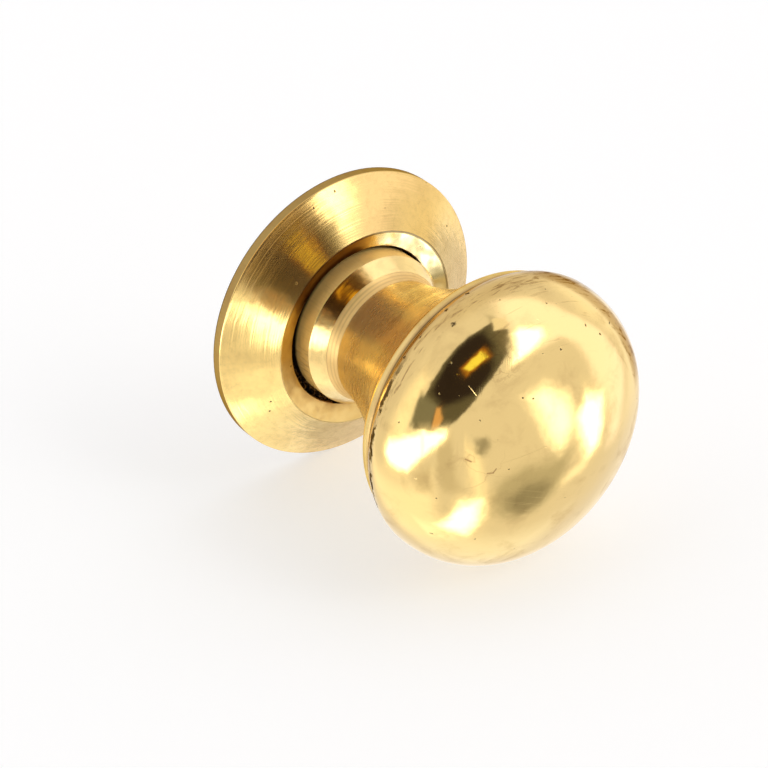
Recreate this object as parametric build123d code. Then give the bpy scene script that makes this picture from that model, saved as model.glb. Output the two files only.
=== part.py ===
from build123d import *

import os
from math import asin, cos, radians, sin, tan

# Turned brass cabinet knob on a loose conical rose, in millimetres.
# The knob's axis is Y. The door face is the plane y = 0, the knob stands out of it
# towards -Y, and +Z is up, as the knob hangs on an upright door.

# Rose: a conical backplate with a dished top and a seat for the knob's foot
rose_radius = 19.0
rose_rim = 1.4              # height of the plain outer edge
crest_radius = 12.8         # ring where the cone ends and the dish begins
crest_rise = 3.95           # from the outer edge up to the crest
dish_drop = 0.85            # from the crest down to the mouth of the seat
seat_floor = 1.2            # brass left under the foot
back_relief = 0.6           # hollow behind, so that the rose beds on its outer land
bearing_land = 3.0          # width of that land
screw_hole_radius = 2.9     # clearance for the fixing screw, with room for the play
rose_edge_break = 0.2       # rounding of the rose's edges

# Fit of the foot in the seat
foot_play = 0.6             # radial clearance
least_gap = 0.3             # what is left of it where the loose rose has slipped up to the foot
slip_direction = 225.0      # where the rose has slipped to, in degrees from +X towards +Z

# Foot and neck
foot_radius = 9.9
foot_height = 4.85          # plain rim of the foot, from the seat to the bevel
foot_base_chamfer = 0.5     # clears the rounded corner of the seat
foot_edge_break = 0.15      # rounding between the foot's rim and its bevel
bevel_width = 1.25
bevel_height = 1.9
cove_depth = 0.55           # from the bevel's inner edge in to the waist
cove_height = 1.5
cove_radius = 2.5
flare_height = 15.95        # from the waist to the bead under the head
flare_radius = 29.0

# Head
head_radius = 18.25         # at its widest ring
bead_width = 0.5            # how far the bead stands in from the crease in front of it
bead_height = 1.7
bead_radius = 1.6
back_edge_radius = 4.0      # rounding behind the widest ring
back_edge_angle = 48.6      # how far round that goes, down to the crease
shoulder_radius = 10.0      # rounding from the widest ring to the crown
crown_radius = 26.0

# Fixing thread: M4, drilled to tapping size
tap_drill_radius = 1.65
tap_depth = 14.0
drill_point_angle = 118.0

# Levels, as distances from the door face
crest_level = rose_rim + crest_rise
seat_mouth_level = crest_level - dish_drop
seat_level = back_relief + seat_floor
foot_top_level = seat_level + foot_height
bevel_top_level = foot_top_level + bevel_height
waist_level = bevel_top_level + cove_height
bead_level = waist_level + flare_height
crease_level = bead_level + bead_height
widest_level = crease_level + back_edge_radius * sin(radians(back_edge_angle))

# Radii that follow from those above
seat_radius = foot_radius + foot_play
bevel_top_radius = foot_radius - bevel_width
waist_radius = bevel_top_radius - cove_depth
crease_radius = head_radius - back_edge_radius * (1 - cos(radians(back_edge_angle)))
bead_start_radius = crease_radius - bead_width


def at(radius, level):
    """Point of a half-section: its distance from the axis and from the door face."""
    return (radius, -level)


def turn(*outline):
    """Solid turned about the knob's axis from the closed outline of a half-section."""
    return revolve(make_face(Curve() + list(outline)), Axis.Y)


def bulge(start, end, radius):
    """Arc that stands out from its chord, away from the axis."""
    return RadiusArc(start, end, radius)


def hollow(start, end, radius):
    """Arc that lies in from its chord, towards the axis."""
    return RadiusArc(start, end, -radius)


def make_knob():
    """Foot, neck and head, turned from one bar and drilled for the fixing thread."""
    foot_middle = at(0, seat_level)
    bevel_top = at(bevel_top_radius, bevel_top_level)
    waist = at(waist_radius, waist_level)
    bead_start = at(bead_start_radius, bead_level)
    crease = at(crease_radius, crease_level)
    widest = at(head_radius, widest_level)

    # Shoulder and crown meet in one tangent, and the crown is centred on the axis.
    meeting_angle = asin((head_radius - shoulder_radius) / (crown_radius - shoulder_radius))
    crown_centre_level = widest_level - (crown_radius - shoulder_radius) * cos(meeting_angle)
    meeting = at(crown_radius * sin(meeting_angle), crown_centre_level + crown_radius * cos(meeting_angle))
    face_middle = at(0, crown_centre_level + crown_radius)

    foot = FilletPolyline(
        foot_middle,
        at(foot_radius - foot_base_chamfer, seat_level),
        at(foot_radius, seat_level + foot_base_chamfer),
        at(foot_radius, foot_top_level),
        bevel_top,
        radius=[0, 0, foot_edge_break],
    )
    solid = turn(
        foot,
        hollow(bevel_top, waist, cove_radius),
        hollow(waist, bead_start, flare_radius),
        bulge(bead_start, crease, bead_radius),
        bulge(crease, widest, back_edge_radius),
        bulge(widest, meeting, shoulder_radius),
        bulge(meeting, face_middle, crown_radius),
        Line(face_middle, foot_middle),
    )
    return solid - make_tapped_hole()


def make_tapped_hole():
    """Room for the fixing thread, from the foot inwards, with the drill's point at its end."""
    drill_point = tap_drill_radius / tan(radians(drill_point_angle / 2))
    return turn(
        Polyline(
            at(0, seat_level),
            at(tap_drill_radius, seat_level),
            at(tap_drill_radius, seat_level + tap_depth),
            at(0, seat_level + tap_depth + drill_point),
            close=True,
        )
    )


def make_rose():
    """Backplate: cone, dish and seat in front, land and relief behind, hole for the screw."""
    section = Polyline(
        at(screw_hole_radius, back_relief),
        at(rose_radius - bearing_land, back_relief),
        at(rose_radius - bearing_land, 0),
        at(rose_radius, 0),
        at(rose_radius, rose_rim),
        at(crest_radius, crest_level),
        at(seat_radius, seat_mouth_level),
        at(seat_radius, seat_level),
        at(screw_hole_radius, seat_level),
        close=True,
    )
    sharp = turn(section)
    rose = fillet(sharp.edges().filter_by(GeomType.CIRCLE), rose_edge_break)
    slip = foot_play - least_gap
    return Pos(slip * cos(radians(slip_direction)), 0, slip * sin(radians(slip_direction))) * rose


os.makedirs("parts", exist_ok=True)
export_step(make_knob(), "parts/knob.step")
export_step(make_rose(), "parts/rose.step")
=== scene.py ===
from math import asin, cos, pi, radians, sin, sqrt, tan

import bpy
import numpy as np
from mathutils import Matrix, Vector, noise


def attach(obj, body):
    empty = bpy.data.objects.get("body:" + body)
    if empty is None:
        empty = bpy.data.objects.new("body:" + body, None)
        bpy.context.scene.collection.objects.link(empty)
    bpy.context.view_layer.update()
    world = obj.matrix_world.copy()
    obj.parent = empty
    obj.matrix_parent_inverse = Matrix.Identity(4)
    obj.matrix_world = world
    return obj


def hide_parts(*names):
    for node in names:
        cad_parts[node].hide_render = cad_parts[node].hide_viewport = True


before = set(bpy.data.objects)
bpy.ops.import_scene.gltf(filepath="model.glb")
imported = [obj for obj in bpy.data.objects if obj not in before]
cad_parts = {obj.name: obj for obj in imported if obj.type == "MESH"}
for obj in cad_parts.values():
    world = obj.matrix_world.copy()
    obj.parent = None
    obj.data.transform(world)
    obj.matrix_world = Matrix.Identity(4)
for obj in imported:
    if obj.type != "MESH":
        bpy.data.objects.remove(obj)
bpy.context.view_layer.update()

# Turned brass cabinet knob on a loose conical rose. Sizes are in millimetres and are those of the
# solids: the knob's axis is Y, the door face is y = 0 and the knob stands out of it towards -Y.
# Angles are in degrees from +X towards +Z, and a level is a distance from the door face.
MM = 0.001

# Rose
rose_radius = 19.0
rose_rim = 1.4              # height of the plain outer edge
crest_radius = 12.8         # ring where the cone ends and the dish begins
crest_rise = 3.95           # from the outer edge up to the crest
dish_drop = 0.85            # from the crest down to the mouth of the seat
seat_floor = 1.2            # brass left under the foot
back_relief = 0.6           # hollow behind
bearing_land = 3.0          # land round that hollow
screw_hole_radius = 2.9
rose_edge_break = 0.2
foot_play = 0.6             # radial clearance of the foot in the seat
slip = 0.3                  # how far the loose rose has slipped on the foot
slip_direction = 225.0

# Foot and neck
foot_radius = 9.9
foot_height = 4.85          # plain rim of the foot, from the seat to the bevel
foot_base_chamfer = 0.5
foot_edge_break = 0.15
bevel_width = 1.25
bevel_height = 1.9
cove_depth = 0.55
cove_height = 1.5
cove_radius = 2.5
flare_height = 15.95        # from the waist to the bead under the head
flare_radius = 29.0

# Head
head_radius = 18.25
bead_width = 0.5
bead_height = 1.7
bead_radius = 1.6
back_edge_radius = 4.0
back_edge_angle = 48.6
shoulder_radius = 10.0
crown_radius = 26.0

# Fixing thread
tap_drill_radius = 1.65
tap_depth = 14.0
drill_point_angle = 118.0
thread_pitch = 0.7
thread_depth = 0.35
thread_root = 0.2           # flat bottom of the groove, as a share of the pitch
thread_runout = 1.5         # the groove ends this far short of the hole's end, and fades over as much

# Old polish in the gap round the foot, between two angles; it also serves as painted shade in that gap
grime_from = 192.0
grime_to = 268.0
grime_level = 4.1
grime_lumps = 1.6           # how close together the lumps are
grime_unevenness = 0.45
grime_pattern = 3.0         # picks one pattern of lumps
grime_bluntness = 0.4       # power by which the ends taper: blunt near 0
grime_clearance = 0.02
grime_rows = 97             # points along it and across it
grime_columns = 9

# Levels
crest_level = rose_rim + crest_rise
seat_mouth_level = crest_level - dish_drop
seat_level = back_relief + seat_floor
foot_top_level = seat_level + foot_height
bevel_top_level = foot_top_level + bevel_height
waist_level = bevel_top_level + cove_height
bead_level = waist_level + flare_height
crease_level = bead_level + bead_height
widest_level = crease_level + back_edge_radius * sin(radians(back_edge_angle))
hole_end_level = seat_level + tap_depth
drill_end_level = hole_end_level + tap_drill_radius / tan(radians(drill_point_angle / 2))

# Radii and places that follow from those above
seat_radius = foot_radius + foot_play
bevel_top_radius = foot_radius - bevel_width
waist_radius = bevel_top_radius - cove_depth
crease_radius = head_radius - back_edge_radius * (1 - cos(radians(back_edge_angle)))
bead_start_radius = crease_radius - bead_width
meeting_angle = asin((head_radius - shoulder_radius) / (crown_radius - shoulder_radius))
crown_centre_level = widest_level - (crown_radius - shoulder_radius) * cos(meeting_angle)
meeting = (crown_radius * sin(meeting_angle), crown_centre_level + crown_radius * cos(meeting_angle))
rose_shift = (slip * cos(radians(slip_direction)), slip * sin(radians(slip_direction)))

# Mesh
segments = 288              # round the axis
edge_points = 7             # round a broken edge
thread_points = 7           # along one pitch of the thread
pole_radius = 0.02          # where the rings stop, just short of the axis
same_place = 1e-6           # points closer than this are one


# Half-sections: points are (distance from the axis, level)

def line(start, end, step):
    """Points from start towards end, about step apart, without end itself."""
    start, end = np.array(start, float), np.array(end, float)
    count = max(1, round(float(np.linalg.norm(end - start)) / step))
    return start + np.linspace(0, 1, count, endpoint=False)[:, None] * (end - start)


def arc(start, end, radius, step):
    """The same along an arc. A positive radius stands out from the chord, a negative one lies in."""
    start, end = np.array(start, float), np.array(end, float)
    chord = end - start
    length = float(np.linalg.norm(chord))
    inward = np.array([-chord[1], chord[0]]) / length
    middle = (start + end) / 2
    centre = middle + np.sign(radius) * inward * sqrt(radius ** 2 - length ** 2 / 4)
    sweep = 2 * asin(length / 2 / abs(radius))
    count = max(2, round(sweep * abs(radius) / step))
    turn = -np.sign(radius) * np.linspace(0, sweep, count, endpoint=False)
    arm = start - centre
    return centre + np.c_[
        arm[0] * np.cos(turn) + arm[1] * np.sin(turn),
        -arm[0] * np.sin(turn) + arm[1] * np.cos(turn),
    ]


def broken_edge(before, corner, after, radius):
    """Points round a corner whose edge is broken with a small radius."""
    before, corner, after = (np.array(p, float) for p in (before, corner, after))
    back = (before - corner) / np.linalg.norm(before - corner)
    on = (after - corner) / np.linalg.norm(after - corner)
    half = np.arccos(np.clip(back @ on, -1, 1)) / 2
    reach = radius / tan(half)
    centre = corner + (back + on) / np.linalg.norm(back + on) * radius / sin(half)
    first, last = corner + back * reach - centre, corner + on * reach - centre
    share = np.linspace(0, 1, edge_points)[:, None]
    blend = first * (1 - share) + last * share
    return centre + blend / np.linalg.norm(blend, axis=1)[:, None] * radius


def groove(points, angle, threaded):
    """Depth of the helical groove of the thread at each point of the tapped wall."""
    level = points[:, 1:2]
    off = np.abs((level / thread_pitch + angle[None] / (2 * pi)) % 1.0 - 0.5)
    depth = thread_depth * np.clip((0.5 - off) / (0.5 - thread_root / 2), 0, 1)
    fade = np.clip((hole_end_level - thread_runout - level) / thread_runout, 0, 1)
    return np.where(threaded[:, None], depth * fade, 0.0)


def lathe(name, stretches, materials, closed):
    """Turns a half-section about Y. Each stretch is (finish, points); an open section ends at the axis."""
    points = np.vstack([p for _, p in stretches])
    finish = np.concatenate([[materials.index(f)] * len(p) for f, p in stretches])
    keep = np.r_[True, np.linalg.norm(np.diff(points, axis=0), axis=1) > same_place]
    points, finish = points[keep], finish[keep]
    rings = len(points)
    angle = np.linspace(0, 2 * pi, segments, endpoint=False)
    radius = np.repeat(points[:, 0:1], segments, axis=1)
    level = np.repeat(points[:, 1:2], segments, axis=1)
    if "thread" in materials:
        radius += groove(points, angle, finish == materials.index("thread"))
    verts = np.stack([radius * np.cos(angle), -level, radius * np.sin(angle)], axis=-1)

    i = np.arange(rings if closed else rings - 1)[:, None]
    j = np.arange(segments)[None]
    after, side = (i + 1) % rings, (j + 1) % segments
    quads = [i * segments + j, after * segments + j, after * segments + side, i * segments + side]
    faces = [tuple(q) for q in np.stack(quads, -1).reshape(-1, 4).tolist()]
    slots = np.repeat(finish[: len(i)], segments).tolist()
    if not closed:
        first, last = range(segments), range((rings - 1) * segments, rings * segments)
        faces += [tuple(first), tuple(reversed(last))]
        slots += [slots[0], slots[-1]]
    return add_piece(name, verts, faces, slots, materials)


def add_piece(name, verts, faces, slots, materials):
    """Smooth mesh with its finishes; slots gives the finish of each face."""
    mesh = bpy.data.meshes.new(name)
    mesh.from_pydata((np.reshape(verts, (-1, 3)) * MM).tolist(), [], faces)
    mesh.polygons.foreach_set("material_index", slots)
    mesh.polygons.foreach_set("use_smooth", [True] * len(faces))
    for material in materials:
        mesh.materials.append(finishes[material])
    mesh.update()
    piece = bpy.data.objects.new(name, mesh)
    bpy.context.scene.collection.objects.link(piece)
    return piece


def head_radius_at(level):
    """Distance of the head's surface from the axis."""
    if level > meeting[1]:
        return sqrt(crown_radius ** 2 - (level - crown_centre_level) ** 2)
    bend = back_edge_radius if level < widest_level else shoulder_radius
    return head_radius - bend + sqrt(bend ** 2 - (level - widest_level) ** 2)


def on_head(angle, level):
    """Place on the head."""
    radius = head_radius_at(level)
    return Vector((radius * cos(radians(angle)), -level, radius * sin(radians(angle))))


# Materials

class Tree:
    """Builds a node tree. Each call adds a node and returns an output; sockets link, values are set."""

    def __init__(self, tree):
        self.nodes, self.links = tree.nodes, tree.links
        self.nodes.clear()

    def add(self, kind, inputs, output=0, **settings):
        node = self.nodes.new("ShaderNode" + kind)
        for key, value in settings.items():
            setattr(node, key, value)
        for key, value in inputs.items():
            if isinstance(value, bpy.types.NodeSocket):
                self.links.new(value, node.inputs[key])
            else:
                node.inputs[key].default_value = value
        return node.outputs[output] if len(node.outputs) else None

    def math(self, operation, first, second=0.0, third=0.0):
        return self.add("Math", {0: first, 1: second, 2: third}, operation=operation)

    def vector(self, operation, first, second=(0, 0, 0), third=(0, 0, 0), output=0):
        return self.add("VectorMath", {0: first, 1: second, 2: third}, output, operation=operation)

    def number(self, operation, first, second=(0, 0, 0)):
        """Vector maths that gives a number."""
        return self.vector(operation, first, second, output="Value")

    def product(self, *values):
        whole = values[0]
        for value in values[1:]:
            whole = self.math("MULTIPLY", whole, value)
        return whole

    def least(self, *values):
        low = values[0]
        for value in values[1:]:
            low = self.math("MINIMUM", low, value)
        return low

    def ramp(self, value, low, high):
        """0 at low and 1 at high, with a soft rise between; low may be the larger one."""
        inputs = {"Value": value, "From Min": low, "From Max": high}
        return self.add("MapRange", inputs, interpolation_type="SMOOTHSTEP")

    def mix(self, factor, first, second):
        return self.add("Mix", {0: factor, 6: first, 7: second}, 2, data_type="RGBA")

    def noise(self, place, size, detail=2.0, roughness=0.5, distortion=0.0, output=0):
        """Noise with features of about that size, in millimetres."""
        inputs = {
            "Vector": place,
            "Scale": 1 / size,
            "Detail": detail,
            "Roughness": roughness,
            "Distortion": distortion,
        }
        return self.add("TexNoise", inputs, output)

    def scatter(self, place, size, detail=2.0, roughness=0.5):
        """Noise in three directions, up to half of 1 either way."""
        cloud = self.noise(place, size, detail, roughness, output="Color")
        return self.vector("SUBTRACT", cloud, (0.5, 0.5, 0.5))


# Metal, from clean to dirty; tarnish, stain and grime also serve as painted shade in creases, the cove,
# the dish, the seat and the gap
white = (1.0, 1.0, 1.0, 1.0)
pale_colour = (1.00, 0.88, 0.52, 1.0)
brass_colour = (0.90, 0.65, 0.26, 1.0)
dull_colour = (0.66, 0.48, 0.195, 1.0)
amber_colour = (0.80, 0.41, 0.085, 1.0)
tarnish_and_shade_colour = (0.40, 0.225, 0.085, 1.0)
stain_and_shade_colour = (0.22, 0.10, 0.03, 1.0)
brown_colour = (0.075, 0.030, 0.008, 1.0)
grime_and_shade_colour = (0.022, 0.013, 0.007, 1.0)

# Faces that have a tone of their own; the foot's is set lighter as painted light, the bevel's brown is a
# painted reflection and the dish's bright tone a painted highlight
neck_colour = (0.92, 0.73, 0.34, 1.0)
cove_colour = (0.90, 0.63, 0.255, 1.0)
bevel_reflection_brown = (0.76, 0.33, 0.06, 1.0)
# The foot's colour is lighter than plain brass: painted light for what its rim would catch
foot_colour_with_painted_light = (1.0, 0.68, 0.23, 1.0)
rim_colour = (0.48, 0.32, 0.11, 1.0)
cone_colour = (0.97, 0.69, 0.25, 1.0)
cone_edge_colour = (1.0, 0.93, 0.85, 1.0)
dish_colour = (0.72, 0.53, 0.21, 1.0)
dish_painted_highlight_colour = (0.95, 0.78, 0.40, 1.0)

noise_steepness = 0.45      # usual slope of noise that has height 1 and size 1
ring_wander = 4.0           # length over which tool marks wander
dirt_in_hole = 0.85         # how much of the bottom of a hole is dirt
quarter_turn = 0.25


class Finish:
    """Finish of a turned face, built up in layers over plain metal. Lengths are in millimetres.

    A mask is 1 where a layer lies and 0 elsewhere. A tilt is how far marks usually lean, in degrees.
    """

    def __init__(self, name, roughness, colour=brass_colour, metallic=1.0, edge=None):
        """Edge is the colour at grazing angles: white on clean metal, the metal's own on dull metal."""
        self.material = bpy.data.materials.new(name)
        self.material.use_nodes = True
        t = self.t = Tree(self.material.node_tree)
        self.place = t.vector("MULTIPLY", t.add("TexCoord", {}, "Object"), (1 / MM,) * 3)
        axes = t.add("SeparateXYZ", {"Vector": self.place}).node.outputs
        self.level = t.math("MULTIPLY", axes["Y"], -1.0)
        self.flat = t.add("CombineXYZ", {"X": axes["X"], "Z": axes["Z"]})
        self.radius = t.number("LENGTH", self.flat)
        self.around = t.vector("NORMALIZE", self.flat)
        self.colour, self.edge = colour, edge or colour
        self.roughness, self.metallic, self.height = roughness, metallic, 0.0

    def cover(self, colour, *masks, amount=1.0, rougher=0.0):
        """Lays an amount of colour over the metal where all masks are 1, and makes it rougher there."""
        mask = self.t.product(*masks, amount)
        self.colour = self.t.mix(mask, self.colour, colour)
        self.edge = self.t.mix(mask, self.edge, colour)
        if rougher:
            self.roughness = self.t.math("MULTIPLY_ADD", mask, rougher, self.roughness)

    def raise_by(self, value, height):
        """Raises the face by a height where the value is 1, and sinks it where the height is negative."""
        self.height = self.t.math("MULTIPLY_ADD", value, height, self.height)

    def dig(self, hole, depth):
        """Sinks a hole with dirt in it."""
        self.cover(grime_and_shade_colour, hole, amount=dirt_in_hole, rougher=0.35)
        self.raise_by(hole, -depth)

    def band(self, run, low, high, soft):
        """Mask of a band between two values of run, such as a level; its edges fade by soft either way."""
        after = self.t.ramp(run, low - soft, low + soft)
        return self.t.product(after, self.t.ramp(run, high + soft, high - soft))

    def sector(self, angle, half_width, soft):
        """Mask of a sector about an angle; all three are in degrees."""
        middle = (cos(radians(angle)), 0, sin(radians(angle)))
        towards = self.t.number("DOT_PRODUCT", self.around, middle)
        outer, inner = cos(radians(half_width + soft)), cos(radians(half_width - soft))
        return self.t.ramp(towards, outer, inner)

    def patches(self, size, low, high):
        """Mask of irregular patches, where noise is above low, and whole where it is above high."""
        cloud = self.t.noise(self.place, size, detail=6.0, roughness=0.62, distortion=0.4)
        return self.t.ramp(cloud, low, high)

    def flecks(self, along, across, low, high):
        """The same with flecks that are drawn out round the axis."""
        t = self.t
        drawn = t.vector("MULTIPLY", self.around, (head_radius / along,) * 3)
        lifted = t.add("CombineXYZ", {"Y": t.math("DIVIDE", self.level, across)})
        place = t.vector("ADD", drawn, lifted)
        return t.ramp(t.noise(place, 1.0, detail=4.0, roughness=0.65, distortion=0.6), low, high)

    def veins(self, size, width):
        """Mask of thin winding lines, left where a wet stain has dried."""
        t = self.t
        cloud = t.noise(self.place, size, distortion=0.8)
        off = t.math("ABSOLUTE", t.math("SUBTRACT", cloud, 0.5))
        return t.ramp(off, width / size * noise_steepness, 0.0)

    def near(self, place, reach, core=0.3):
        """Mask round a place: whole within a share of the reach, the core, and gone at the reach."""
        return self.t.ramp(self.t.number("DISTANCE", self.place, place), reach, reach * core)

    def stroke(self, start, end, width):
        """Mask of a straight stroke between two places, as seen from in front of the knob."""
        t = self.t
        first, last = (Vector((place.x, 0, place.z)) for place in (start, end))
        along = last - first
        off = t.vector("SUBTRACT", self.flat, first)
        share = t.number("DOT_PRODUCT", off, along / along.length_squared)
        nearest = t.vector("MULTIPLY", t.add("Clamp", {"Value": share}), along)
        return t.ramp(t.number("DISTANCE", off, nearest), width, 0.0)

    def shaken(self, size, reach=1.6):
        """The place, moved about at random so that round marks get ragged edges."""
        push = self.t.scatter(self.place, size, roughness=0.6)
        return self.t.vector("MULTIPLY_ADD", push, (size * reach,) * 3, self.place)

    def ripple(self, size, tilt):
        """Unevenness of a hand polish."""
        self.raise_by(self.t.noise(self.place, size, detail=1.0), radians(tilt) * size / noise_steepness)

    def rings(self, run, size, tilt, gloss=0.0):
        """Uneven rings, one after another along run, as a turning tool leaves them."""
        t = self.t
        uneven = t.math("MULTIPLY_ADD", t.noise(self.place, ring_wander), size, run)
        cuts = t.add("TexNoise", {"W": uneven, "Scale": 1 / size, "Detail": 3.0}, noise_dimensions="1D")
        self.raise_by(cuts, radians(tilt) * size / noise_steepness)
        if gloss:
            self.roughness = t.math("MULTIPLY_ADD", t.math("SUBTRACT", cuts, 0.5), gloss, self.roughness)

    def grain(self, along, across, tilt, shade, within=1.0):
        """Fine lines along the axis, as a file leaves them, with dirt in them."""
        t = self.t
        drawn = t.vector("MULTIPLY", self.place, (1 / across, 1 / along, 1 / across))
        lines = t.product(t.noise(drawn, 1.0, roughness=0.6), within)
        self.raise_by(lines, radians(tilt) * across / noise_steepness)
        self.cover(tarnish_and_shade_colour, t.ramp(lines, 0.5, 0.75), amount=shade, rougher=0.1)

    def tarnish(self, amount, size):
        """Patches of brown tarnish."""
        self.cover(tarnish_and_shade_colour, self.patches(size, 0.42, 0.74), amount=amount, rougher=0.15)

    def pits(self, spacing, size, share, depth, within=1.0, core=0.4):
        """Small dark pits at random, in a share of the cells that the face is split into."""
        t = self.t
        cells = t.add("TexVoronoi", {"Vector": self.shaken(size), "Scale": 1 / spacing}, "Distance")
        chance = t.add("SeparateXYZ", {"Vector": cells.node.outputs["Color"]})
        hole = t.ramp(cells, size / spacing, size / spacing * core)
        self.dig(t.product(hole, t.math("LESS_THAN", chance, share), within), depth)

    def marks(self, places, depth, raggedness=0.5, core=0.4):
        """Single pits: each is a place and a size."""
        t = self.t
        ragged = self.shaken(raggedness)
        hole = 0.0
        for place, size in places:
            away = t.number("DISTANCE", ragged, place)
            hole = t.math("MAXIMUM", hole, t.ramp(away, size, size * core))
        self.dig(hole, depth)

    def hairlines(self, angle, length, width, tilt, within):
        """Fine scratches that run one way across the face."""
        t = self.t
        turn = {"Vector": self.place, "Angle": radians(angle)}
        turned = t.add("VectorRotate", turn, rotation_type="Y_AXIS")
        drawn = t.vector("MULTIPLY", turned, (1 / length, 0.0, 1 / width))
        lines = t.product(t.ramp(t.noise(drawn, 1.0, detail=1.0), 0.62, 0.72), within)
        self.raise_by(lines, -radians(tilt) * width)

    def done(self, anisotropy=0.0, lean=0.0):
        """Joins the layers. Lean tips the facets of the tool marks outwards by that slope."""
        t = self.t
        inputs = {
            "Base Color": self.colour,
            "Specular Tint": self.edge,
            "Metallic": self.metallic,
            "Roughness": self.roughness,
        }
        bump = {"Height": self.height, "Distance": MM, "Strength": 1.0}
        if lean:
            facing = t.add("NewGeometry", {}, "Normal")
            tipped = t.vector("MULTIPLY_ADD", self.around, lean, facing)
            bump["Normal"] = t.vector("NORMALIZE", tipped)
        if anisotropy:
            inputs["Anisotropic"] = anisotropy
            inputs["Anisotropic Rotation"] = quarter_turn
            inputs["Tangent"] = t.add("Tangent", {}, direction_type="RADIAL", axis="Y")
        inputs["Normal"] = t.add("Bump", bump)
        t.add("OutputMaterial", {"Surface": t.add("BsdfPrincipled", inputs)})
        return self.material


# Single pits in the head: angle, level, size
head_pits = [
    (116.2, 31.84, 0.40), (102.7, 29.10, 0.42), (112.9, 29.25, 0.34), (126.8, 29.32, 0.32),
    (136.0, 29.11, 0.38), (56.6, 38.45, 0.20), (65.6, 37.96, 0.18), (83.7, 39.38, 0.17),
    (94.5, 39.27, 0.16), (112.0, 40.92, 0.19), (117.4, 40.56, 0.17), (47.7, 36.94, 0.19),
    (184.2, 37.93, 0.17), (204.5, 36.72, 0.18), (221.9, 36.05, 0.17), (216.7, 39.42, 0.15),
    (20.0, 36.30, 0.20), (6.0, 38.90, 0.16), (300.0, 37.50, 0.18),
]

# Single brown strokes on the head: angle and level of both ends, half of the width
head_strokes = [
    ((162.0, 39.54), (162.9, 39.88), 0.16),
    ((169.5, 40.85), (169.1, 41.10), 0.16),
    ((169.1, 41.10), (166.0, 41.20), 0.14),
]

# Single scratches in the head: the same, and the slope of their sides in degrees
head_scratches = [
    ((131.0, 37.42), (132.3, 38.34), 0.045, 14.0),
    ((161.8, 41.36), (131.1, 42.57), 0.09, 3.0),
    ((129.8, 39.51), (131.8, 40.25), 0.09, 6.0),
]

dried_stain = on_head(166, 40.4)
crazed_stain = on_head(114, 37.9)
worn_spot = on_head(230, 42.0)
stain_slope = 0.89          # how steeply the stain at the right climbs, in level by distance along +X
seam_drift = 1.8            # how far the ragged seam behind the widest ring strays


def dome_finish():
    """Polished head: bright in front, stained and pitted near its widest ring, a ragged seam behind."""
    f = Finish("dome", 0.085, edge=white)
    t = f.t
    f.ripple(size=7.0, tilt=0.20)
    f.ripple(size=1.4, tilt=0.25)

    # Stains along the edge, placed by their distance in front of the widest ring
    ahead = t.math("SUBTRACT", f.level, widest_level)
    slanted = t.math("SUBTRACT", t.number("DOT_PRODUCT", f.place, (-stain_slope, -1, 0)), widest_level)
    top = t.product(f.band(ahead, -0.1, 2.3, soft=1.2), f.sector(74, 24, soft=12))
    right = t.product(f.band(slanted, -7.2, -3.5, soft=0.8), f.sector(46, 28, soft=10))
    left = t.product(f.band(ahead, -1.4, 0.9, soft=0.7), f.sector(122, 34, soft=10))
    for edge, tint in ((top, 0.28), (right, 0.50), (left, 0.15)):
        f.cover(tarnish_and_shade_colour, edge, amount=tint, rougher=0.06)
        f.cover(stain_and_shade_colour, edge, f.flecks(2.4, 0.45, 0.50, 0.70), amount=0.65, rougher=0.14)
    upper = t.product(f.band(ahead, 2.3, 8.3, soft=1.5), f.sector(66, 48, soft=14))
    f.cover(tarnish_and_shade_colour, upper, f.flecks(7.0, 0.35, 0.60, 0.72), amount=0.5, rougher=0.10)
    f.cover(tarnish_and_shade_colour, f.veins(4.0, 0.13), f.near(dried_stain, 5.0), amount=0.22, rougher=0.10)
    f.cover(tarnish_and_shade_colour, f.veins(1.0, 0.16), f.near(crazed_stain, 3.4), amount=0.45, rougher=0.10)
    f.cover(tarnish_and_shade_colour, f.patches(4.5, 0.48, 0.75), amount=0.26, rougher=0.05)

    # Pits, strokes and scratches
    shoulder = t.product(f.band(ahead, -1.2, 5.8, soft=0.8), f.patches(5.0, 0.45, 0.60))
    f.pits(spacing=1.2, size=0.17, share=0.30, depth=0.03, within=shoulder)
    f.pits(spacing=2.6, size=0.13, share=0.30, depth=0.03)
    f.pits(spacing=1.3, size=0.07, share=0.35, depth=0.01, within=f.patches(6.0, 0.42, 0.60))
    f.marks([(on_head(angle, level), size) for angle, level, size in head_pits], depth=0.05)
    for start, end, width in head_strokes:
        f.cover(tarnish_and_shade_colour, f.stroke(on_head(*start), on_head(*end), width), amount=0.85, rougher=0.10)
    for start, end, width, slope in head_scratches:
        f.raise_by(f.stroke(on_head(*start), on_head(*end), width), -width * tan(radians(slope)))
    f.hairlines(angle=-24, length=9.0, width=0.12, tilt=0.8, within=f.near(worn_spot, 9.0))
    f.hairlines(angle=66, length=4.0, width=0.10, tilt=0.6, within=f.patches(6.0, 0.48, 0.60))

    # Seam and crease behind the widest ring; the crease's near-black line is partly grime and partly
    # painted shade
    strayed = t.math("MULTIPLY_ADD", t.noise(f.place, 1.1, detail=4.0, roughness=0.7), seam_drift, ahead)
    seam = t.product(f.band(strayed, -0.7, 0.0, soft=0.15), f.sector(170, 30, soft=10))
    f.dig(t.product(seam, f.patches(2.0, 0.38, 0.52)), depth=0.03)
    behind = f.band(f.level, crease_level - 0.7, widest_level - 1.2, soft=0.3)
    crease = f.band(f.level, crease_level - 0.7, crease_level + 0.1, soft=0.14)
    f.cover(tarnish_and_shade_colour, behind, amount=0.25, rougher=0.12)
    # Near-black line in the crease: partly grime, partly painted shade
    f.cover(grime_and_shade_colour, crease, amount=0.55, rougher=0.3)
    return f.done()


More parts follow.
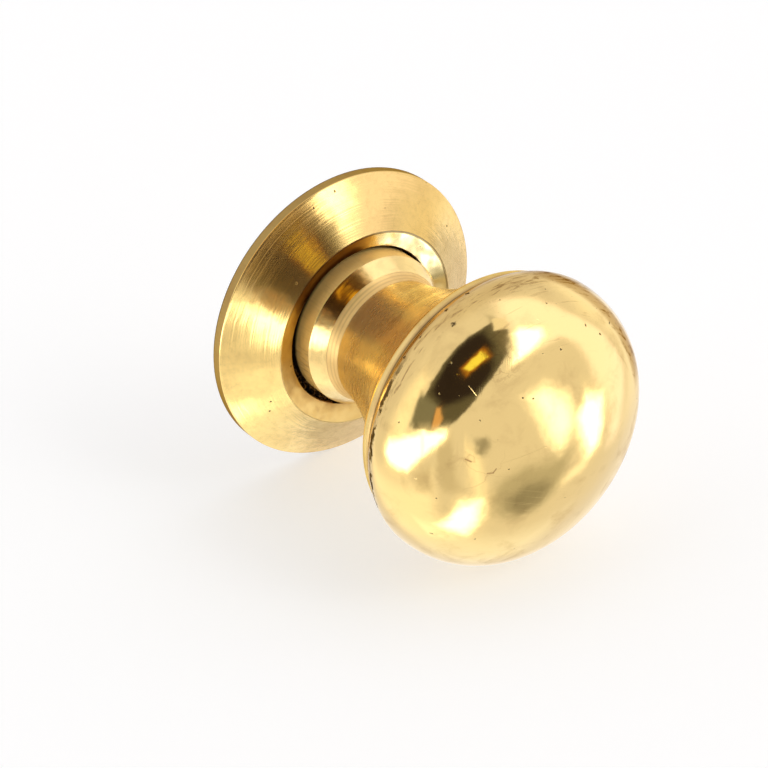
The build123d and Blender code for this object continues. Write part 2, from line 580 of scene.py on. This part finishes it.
def bead_finish():
    """Bead under the head, bright on its crown, and brown and near-black in the crease in front of it:
    partly tarnish and grime, partly painted crease shade.
    """
    f = Finish("bead", 0.22, edge=pale_colour)
    f.rings(f.level, size=0.3, tilt=1.0, gloss=0.1)
    f.tarnish(amount=0.4, size=4.0)
    # Brown and near-black bands toward the crease: partly tarnish and grime, partly painted shade in the
    # crease
    brown = f.band(f.level, crease_level - 0.35, widest_level, soft=0.2)
    black = f.band(f.level, crease_level - 0.1, widest_level, soft=0.1)
    f.cover(tarnish_and_shade_colour, brown, amount=0.6, rougher=0.2)
    f.cover(grime_and_shade_colour, black, amount=0.6, rougher=0.3)
    return f.done()


def neck_finish():
    """Satin neck, turned and never polished, with tarnish drawn out round it."""
    f = Finish("neck", 0.26, neck_colour, metallic=0.93, edge=pale_colour)
    f.ripple(size=3.0, tilt=0.3)
    f.rings(f.level, size=0.50, tilt=0.4, gloss=0.04)
    f.cover(tarnish_and_shade_colour, f.flecks(9.0, 5.0, 0.35, 0.75), amount=0.45, rougher=0.06)
    f.cover(tarnish_and_shade_colour, f.flecks(6.0, 0.60, 0.45, 0.85), amount=0.12)
    f.pits(spacing=3.0, size=0.16, share=0.25, depth=0.03)
    return f.done(anisotropy=0.4)


def cove_finish():
    """Cove between bevel and neck, with the steps of the tool left in it, shown as thin dark lines of
    painted shade.
    """
    f = Finish("cove", 0.42, cove_colour, metallic=0.55)
    f.rings(f.level, size=0.45, tilt=6.0, gloss=0.2)
    f.tarnish(amount=0.25, size=4.0)
    # Dark lines at the steps of the tool: painted shade
    for share in (0.0, 0.3, 0.6, 1.0):
        step = bevel_top_level + share * cove_height
        step_shade_line = f.band(f.level, step - 0.06, step + 0.06, soft=0.12)
        f.cover(tarnish_and_shade_colour, step_shade_line, amount=0.45, rougher=0.1)
    return f.done(anisotropy=0.5)


def bevel_finish():
    """Turned bevel of the foot, browner at the side that faces up, where the brown is a painted reflection
    of dark and orange light.
    """
    f = Finish("bevel", 0.20, edge=white)
    f.ripple(size=1.5, tilt=1.0)
    f.rings(f.radius, size=0.20, tilt=1.0, gloss=0.08)
    # Brown at about 124 degrees: a painted reflection
    f.cover(bevel_reflection_brown, f.sector(124, 18, soft=8), amount=0.9)
    f.tarnish(amount=0.25, size=3.0)
    f.pits(spacing=2.5, size=0.14, share=0.2, depth=0.02)
    return f.done()


def foot_finish():
    """Plain rim of the foot, dull and set lighter than its brass as painted light, with a few strokes of a
    file across it and dirt and painted shade low in the seat.
    """
    f = Finish("foot", 0.42, foot_colour_with_painted_light, metallic=0.28)
    f.grain(along=5.0, across=0.25, tilt=4.0, shade=0.14)
    f.grain(along=3.0, across=0.35, tilt=16.0, shade=0.5, within=f.sector(190, 16, soft=5))
    f.tarnish(amount=0.15, size=2.5)
    # Near-black low in the seat: dirt, and painted shade in the gap below the mouth of the seat
    dirt_and_shade_in_seat = f.band(f.level, 0.0, seat_mouth_level - 0.4, soft=0.3)
    f.cover(grime_and_shade_colour, dirt_and_shade_in_seat, f.sector(190, 65, soft=20), rougher=0.2)
    return f.done()


def rim_finish():
    """Dull outer edge of the rose, scored across and dark towards the door."""
    f = Finish("rim", 0.45, rim_colour)
    f.grain(along=3.0, across=0.30, tilt=5.0, shade=0.25)
    f.tarnish(amount=0.35, size=2.2)
    f.cover(grime_and_shade_colour, f.band(f.level, -1.0, rose_edge_break, soft=0.12), amount=0.85, rougher=0.2)
    return f.done()


def base_finish():
    """Faced backs of the foot and the rose."""
    f = Finish("base", 0.33, dull_colour)
    f.rings(f.radius, size=0.30, tilt=3.0, gloss=0.15)
    f.tarnish(amount=0.6, size=5.0)
    f.pits(spacing=2.4, size=0.2, share=0.3, depth=0.03)
    return f.done(anisotropy=0.5)


def cone_finish():
    """Cone of the rose, straight from the turning tool; its marks get steeper towards the crest."""
    f = Finish("cone", 0.20, cone_colour, metallic=0.92, edge=cone_edge_colour)
    t = f.t
    f.rings(f.radius, size=0.20, tilt=1.9, gloss=0.06)
    f.rings(f.radius, size=1.0, tilt=0.8)
    f.ripple(size=3.0, tilt=0.6)
    right = f.sector(70, 27, soft=12)
    # Amber at about 127 degrees: a painted orange reflection on the upper side
    f.cover(amber_colour, f.sector(127, 17, soft=7), amount=0.75)
    f.cover(amber_colour, right, amount=0.30)
    f.cover(dull_colour, right, amount=0.40)
    f.tarnish(amount=0.14, size=4.0)
    f.tarnish(amount=0.16, size=0.7)
    f.pits(spacing=2.0, size=0.18, share=0.45, depth=0.02)
    crest = f.band(f.radius, 0, crest_radius + 0.1, soft=0.1)
    f.cover(grime_and_shade_colour, crest, f.patches(3.0, 0.4, 0.6), amount=0.6, rougher=0.2)
    rim_lean, crest_lean = 0.20, 0.66
    inward = t.ramp(f.radius, rose_radius, crest_radius)
    steeper = t.math("MULTIPLY_ADD", inward, crest_lean - rim_lean, rim_lean)
    return f.done(anisotropy=0.8, lean=steeper)


def dish_finish():
    """Dished ledge round the seat: a painted highlight at one side, dull at the other, and dark brown
    where it faces up, partly stain and old polish and partly painted shade near the seat.
    """
    f = Finish("dish", 0.28, dish_colour)
    t = f.t
    bright, upper = f.sector(49, 31, soft=8), f.sector(119, 28, soft=8)
    bright_lean = 0.42
    f.ripple(size=2.4, tilt=3.0)
    # Paler colour over the bright side: a painted highlight, with the lean below
    f.cover(dish_painted_highlight_colour, bright, rougher=-0.04)
    f.cover(dull_colour, f.sector(240, 60, soft=10), amount=0.9, rougher=0.22)
    f.tarnish(amount=0.45, size=2.2)
    # Stain and dark brown over the upper side near the seat: partly old polish, partly painted shade
    f.cover(stain_and_shade_colour, upper, amount=0.8, rougher=0.10)
    inner = f.band(f.radius, 0, seat_radius + 0.9, soft=0.5)
    f.cover(brown_colour, upper, inner, amount=0.92, rougher=0.10)
    crest = f.band(f.radius, crest_radius - 0.2, rose_radius, soft=0.08)
    f.cover(brown_colour, crest, f.sector(75, 75, soft=20), amount=0.7, rougher=0.15)
    f.pits(spacing=1.6, size=0.18, share=0.40, depth=0.03)
    return f.done(lean=t.product(bright, bright_lean))


def seat_finish():
    """Wall and floor of the seat, brown and black with old polish and painted shade of the deep seat."""
    f = Finish("seat", 0.45, tarnish_and_shade_colour)
    f.rings(f.level, size=0.25, tilt=2.0)
    # Near-black patches: old polish, and painted shade in the deep seat
    f.cover(grime_and_shade_colour, f.patches(1.6, 0.36, 0.58), rougher=0.3)
    return f.done()


def thread_finish():
    """Tapped hole, tarnished."""
    f = Finish("thread", 0.30)
    f.tarnish(amount=0.5, size=1.5)
    return f.done()


def grime_and_gap_shade_finish():
    """Old polish and dirt, almost black, with a little shine; also painted shade in the gap round the
    foot.
    """
    f = Finish("grime_and_gap_shade", 0.55, grime_and_shade_colour)
    f.cover(tarnish_and_shade_colour, f.patches(0.5, 0.50, 0.70), rougher=0.1)
    f.ripple(size=0.4, tilt=20.0)
    return f.done()


finishes = {
    "dome": dome_finish(),
    "bead": bead_finish(),
    "neck": neck_finish(),
    "cove": cove_finish(),
    "bevel": bevel_finish(),
    "foot": foot_finish(),
    "rim": rim_finish(),
    "base": base_finish(),
    "thread": thread_finish(),
    "cone": cone_finish(),
    "dish": dish_finish(),
    "seat": seat_finish(),
    "grime_and_gap_shade": grime_and_gap_shade_finish(),
}


# Pieces

def make_knob():
    """Foot, neck and head in one, with the tapped hole in the foot."""
    hole_tip = (pole_radius, drill_end_level)
    hole_end = (tap_drill_radius, hole_end_level)
    hole_mouth = (tap_drill_radius, seat_level)
    base_edge = (foot_radius - foot_base_chamfer, seat_level)
    rim_foot = (foot_radius, seat_level + foot_base_chamfer)
    rim_top = (foot_radius, foot_top_level)
    bevel_top = (bevel_top_radius, bevel_top_level)
    waist = (waist_radius, waist_level)
    bead_start = (bead_start_radius, bead_level)
    crease = (crease_radius, crease_level)
    widest = (head_radius, widest_level)
    face_middle = (pole_radius, crown_centre_level + crown_radius)
    edge = broken_edge(rim_foot, rim_top, bevel_top, foot_edge_break)
    split = edge_points // 2 + 1
    stretches = [
        ("thread", line(hole_tip, hole_end, step=0.5)),
        ("thread", line(hole_end, hole_mouth, step=thread_pitch / thread_points)),
        ("base", line(hole_mouth, base_edge, step=1.0)),
        ("base", line(base_edge, rim_foot, step=0.25)),
        ("foot", line(rim_foot, edge[0], step=0.4)),
        ("foot", edge[:split]),
        ("bevel", edge[split:]),
        ("bevel", line(edge[-1], bevel_top, step=0.3)),
        ("cove", arc(bevel_top, waist, -cove_radius, step=0.15)),
        ("neck", arc(waist, bead_start, -flare_radius, step=0.5)),
        ("bead", arc(bead_start, crease, bead_radius, step=0.12)),
        ("dome", arc(crease, widest, back_edge_radius, step=0.2)),
        ("dome", arc(widest, meeting, shoulder_radius, step=0.3)),
        ("dome", arc(meeting, face_middle, crown_radius, step=0.5)),
        ("dome", np.array([face_middle])),
    ]
    knob_finishes = ["thread", "base", "foot", "bevel", "cove", "neck", "bead", "dome"]
    piece = lathe("knob_turned", stretches, knob_finishes, closed=False)
    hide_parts("knob")
    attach(piece, "root")


def make_rose():
    """Cone, dish and seat in front, land and relief behind."""
    # Corners of the section, each with the finish of the face that starts there
    corners = [
        ("base", (screw_hole_radius, back_relief)),
        ("base", (rose_radius - bearing_land, back_relief)),
        ("base", (rose_radius - bearing_land, 0)),
        ("rim", (rose_radius, 0)),
        ("cone", (rose_radius, rose_rim)),
        ("dish", (crest_radius, crest_level)),
        ("seat", (seat_radius, seat_mouth_level)),
        ("seat", (seat_radius, seat_level)),
        ("seat", (screw_hole_radius, seat_level)),
    ]
    places = [place for _, place in corners]
    edges = []
    for i, place in enumerate(places):
        edges.append(broken_edge(places[i - 1], place, places[(i + 1) % len(places)], rose_edge_break))
    stretches = []
    for (finish, _), edge, following in zip(corners, edges, edges[1:] + edges[:1]):
        stretches.append((finish, edge[:-1]))
        stretches.append((finish, line(edge[-1], following[0], step=0.4)))
    piece = lathe("rose_turned", stretches, ["base", "rim", "cone", "dish", "seat"], closed=True)
    piece.location = Vector((rose_shift[0], 0, rose_shift[1])) * MM
    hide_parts("rose")
    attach(piece, "root")


def make_grime_and_gap_shade():
    """Lumps of old polish, packed into the wide side of the gap round the foot, also serving as painted
    shade in the gap.
    """
    foot = foot_radius + grime_clearance
    low = seat_level + rose_edge_break + grime_clearance
    rows = []
    for share_along in np.linspace(0, 1, grime_rows):
        angle = radians(grime_from + (grime_to - grime_from) * share_along)
        way = np.array([cos(angle), sin(angle)])
        reach = float(way @ rose_shift)
        wall = reach + sqrt(seat_radius ** 2 - slip ** 2 + reach ** 2) - grime_clearance
        swell = sin(pi * share_along) ** grime_bluntness
        row = [(foot, low)]
        for radius in np.linspace(foot, wall, grime_columns):
            lump = noise.noise(Vector((radius * way[0], grime_pattern, radius * way[1])) * grime_lumps)
            row.append((radius, low + (grime_level - low) * swell * (1 + grime_unevenness * lump)))
        row.append((wall, low))
        rows.append([(radius * way[0], -level, radius * way[1]) for radius, level in row])

    count = len(rows[0])
    last = (grime_rows - 1) * count
    faces = [tuple(range(count)), tuple(reversed(range(last, last + count)))]
    for i in range(grime_rows - 1):
        for j in range(count):
            k = (j + 1) % count
            faces.append((i * count + j, (i + 1) * count + j, (i + 1) * count + k, i * count + k))
    piece = add_piece("old_polish_and_gap_shade", rows, faces, [0] * len(faces), ["grime_and_gap_shade"])
    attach(piece, "root")


make_knob()
make_rose()
make_grime_and_gap_shade()


# Stage: floor, surroundings and camera

floor_size = 6.0            # metres
floor_gap = 0.05            # between the floor and the knob
floor_colour = (0.90, 0.90, 0.89, 1.0)
floor_shade_colour = (0.50, 0.50, 0.50, 1.0)
floor_glow = 0.55


def direction(azimuth, elevation):
    """Unit vector towards a place round the object; azimuth 0 is in front, 90 is at its right."""
    a, e = radians(azimuth), radians(elevation)
    return Vector((sin(a) * cos(e), -cos(a) * cos(e), sin(e)))


def make_floor():
    """Pale floor under the rose's rim and the head, as the knob lies on its side.

    A glow that only the camera sees makes it white, and it keeps the shadow.
    """
    rim_low = rose_radius - rose_shift[1]
    slope = (rim_low - head_radius) / (widest_level - rose_rim)
    bpy.ops.mesh.primitive_plane_add(size=floor_size)
    floor = bpy.context.object
    floor.name = "floor"
    floor.location = (0, 0, -(rim_low + slope * rose_rim + floor_gap) * MM)
    floor.rotation_euler = (-slope, 0, 0)
    material = bpy.data.materials.new("floor")
    material.use_nodes = True
    t = Tree(material.node_tree)
    plain = t.add("BsdfDiffuse", {"Color": floor_colour})
    shade = t.add("BsdfDiffuse", {"Color": floor_shade_colour})
    glow = t.add("Emission", {"Color": white, "Strength": floor_glow})
    seen = t.add("AddShader", {0: shade, 1: glow})
    camera_ray = t.add("LightPath", {}, "Is Camera Ray")
    shader = t.add("MixShader", {0: camera_ray, 1: plain, 2: seen})
    t.add("OutputMaterial", {"Surface": shader})
    floor.data.materials.append(material)
    floor.visible_glossy = False


# Light tent round the object
tent_colour = (0.92, 0.915, 0.94, 1.0)
lamp_colour = (4.4, 4.4, 4.4, 1.0)
halo_colour = (1.50, 1.45, 1.35, 1.0)
halo_reach = 5.0            # how much softer a halo is than its lamp
edge_wander = 0.044         # range over which the edges of the parts wander, as a slope
edge_wander_size = 0.12     # size of those waves

# Parts of the tent: corners as azimuth and elevation, softness of the edge in degrees, colour.
# Later ones lie over earlier ones.
tent_parts = [
    # broad levels of light
    ([(-150, -25), (-52, -22), (-40, -80), (-160, -80)], 10, (1.30, 1.30, 1.30, 1)),
    ([(-112, 40), (-92, 40), (-92, -25), (-118, -25)], 10, (1.35, 1.33, 1.25, 1)),
    ([(-20, -62), (70, -57), (140, -62), (-140, -70)], 8, (1.15, 1.20, 1.28, 1)),
    ([(85, -30), (85, 20), (125, 25), (125, -30)], 10, (1.18, 1.18, 1.14, 1)),
    ([(105, -28), (165, -28), (165, -58), (105, -55)], 8, (1.05, 1.02, 0.96, 1)),
    ([(12, 31), (43, 26), (70, 18), (97, 46), (144, 58), (60, 76), (29, 60)],
     6, (1.42, 1.40, 1.55, 1)),
    ([(43, 28), (50, 2), (57, -10), (63, -34), (80, -34), (80, -10), (76, 30)],
     4, (1.42, 1.40, 1.55, 1)),
    ([(130, -5), (135, 55), (180, 65), (-165, 55), (-165, -5)], 10, (0.84, 0.81, 0.77, 1)),
    ([(-30, -58), (-95, -60), (-95, -73), (-30, -73)], 5, (1.60, 1.60, 1.60, 1)),
    # dark opening and the glow in it
    ([(109, 82), (32, 66), (6, 42), (-8, 31), (-22, 19), (-36, 11), (-50, 7), (-88, 6), (-95, 23),
      (-94, 45), (-93, 71)], 1.2, (0.135, 0.130, 0.100, 1)),
    ([(109, 82), (30, 66), (8, 45), (2, 55), (10, 72)], 4, (0.20, 0.185, 0.14, 1)),
    ([(104, 82), (15, 77), (36, 66), (70, 74)], 0.8, (1.05, 1.02, 0.98, 1)),
    ([(-23, 84), (-4, 66), (-8, 36), (-22, 25), (-60, 24), (-80, 34), (-84, 57), (-87, 77)],
     4, (0.034, 0.026, 0.026, 1)),
    ([(-91, 7), (-66, 11), (-64, 26), (-96, 30)], 3, (0.25, 0.26, 0.23, 1)),
    ([(-53, 52), (-39, 44), (-9, 52), (-22, 66)], 2.5, (0.50, 0.20, 0.02, 1)),
    ([(-49, 52), (-38, 47), (-13, 53), (-25, 63)], 0.8, (1.15, 1.08, 0.18, 1)),
    ([(-64, 24), (-59, 24), (-53, 14), (-55, 9), (-64, 9)], 1.5, (0.85, 0.52, 0.25, 1)),
    # glow and shades low in front
    ([(16, 5), (25, 6), (36, -5), (39, -16), (33, -24), (25, -16)], 6, (2.8, 2.8, 2.8, 1)),
    ([(-19, -9), (-14, -15), (-8, -37), (-9, -42), (-15, -29)], 4, (1.5, 1.46, 1.35, 1)),
    ([(37, -41), (54, -33), (57, -39), (45, -43)], 3, (1.4, 1.4, 1.4, 1)),
    ([(-51, -3), (-38, 1), (-19, -36), (-36, -35), (-50, -21)], 4, (0.74, 0.72, 0.70, 1)),
    ([(-78, -23), (-57, -17), (-54, -37), (-75, -35)], 5, (0.85, 0.83, 0.80, 1)),
    ([(-5, -42), (1, -32), (12, -27), (41, -28), (41, -45), (36, -52), (23, -56), (6, -52)],
     5, (0.60, 0.60, 0.57, 1)),
    ([(9, -44), (16, -38), (28, -38), (35, -41), (34, -49), (25, -53), (13, -50)],
     4, (0.36, 0.36, 0.33, 1)),
    ([(-14, -7), (-9, -7), (-8, -12), (-11, -16), (-14, -15)], 2, (0.40, 0.40, 0.38, 1)),
]

# Lamps behind the tent: corners and softness
tent_lamps = [
    ([(-115, -10), (-72, 5), (-67, -9), (-87, -23), (-111, -23), (-119, -18)], 4),
    ([(-72, 5), (-47, 6), (-45, 2), (-67, -9)], 4),
    ([(29, 58), (38, 58), (47, 42), (41, 36), (23, 31), (12, 32)], 4.5),
    ([(49, -10), (59, -16), (61, -31), (56, -33), (45, -23), (43, -16)], 4.5),
    ([(-24, -49), (-18, -43), (-9, -43), (-5, -55), (-7, -64), (-35, -65), (-53, -62)], 5),
]


def tent_mask(t, way, corners, softness):
    """1 where way points between the corners, which go round a convex part of the tent."""
    points = [direction(*corner) for corner in corners]
    middle = sum(points, Vector())
    depths = []
    for first, second in zip(points, points[1:] + points[:1]):
        side = first.cross(second).normalized()
        side = side if side.dot(middle) > 0 else -side
        depths.append(t.number("DOT_PRODUCT", way, side))
    soft = sin(radians(softness))
    return t.ramp(t.least(*depths), -soft, soft)


def make_tent():
    """World by direction: white to the camera, and to all else a tent with an opening and lamps."""
    world = bpy.data.worlds.new("tent")
    bpy.context.scene.world = world
    world.use_nodes = True
    t = Tree(world.node_tree)
    straight = t.add("TexCoord", {}, "Generated")
    push = t.scatter(straight, edge_wander_size, detail=3.0)
    way = t.vector("NORMALIZE", t.vector("MULTIPLY_ADD", push, (edge_wander,) * 3, straight))
    lamps = []
    for corners, softness in tent_lamps:
        lamps.append((corners, softness + halo_reach, halo_colour))
        lamps.append((corners, softness, lamp_colour))
    colour = tent_colour
    for corners, softness, tint in tent_parts + lamps:
        colour = t.mix(tent_mask(t, way, corners, softness), colour, tint)
    camera_ray = t.add("LightPath", {}, "Is Camera Ray")
    shown = t.mix(camera_ray, colour, white)
    background = t.add("Background", {"Color": shown, "Strength": 1.0})
    t.add("OutputWorld", {"Surface": background})


# Camera: a long lens, from the left and above
view_azimuth = -37.57
view_elevation = 32.94
view_distance = 370.5
view_middle = (1.069, -7.245, -7.879)       # what lies in the middle of the picture
view_lens = 141.2
view_sensor = 36.0
view_clip = 0.01            # metres


def make_camera():
    """Camera at its distance from what it looks at, with +Z up in the picture."""
    back = direction(view_azimuth, view_elevation)
    right = direction(view_azimuth + 90, 0)
    up = back.cross(right)
    camera = bpy.data.objects.new("camera", bpy.data.cameras.new("camera"))
    bpy.context.scene.collection.objects.link(camera)
    camera.data.lens = view_lens
    camera.data.sensor_width = view_sensor
    camera.data.clip_start = view_clip
    turned = Matrix((right, up, back)).transposed().to_4x4()
    place = Matrix.Translation((Vector(view_middle) + back * view_distance) * MM)
    camera.matrix_world = place @ turned
    bpy.context.scene.camera = camera


make_floor()
make_tent()
make_camera()

bpy.context.scene.view_settings.view_transform = "Standard"
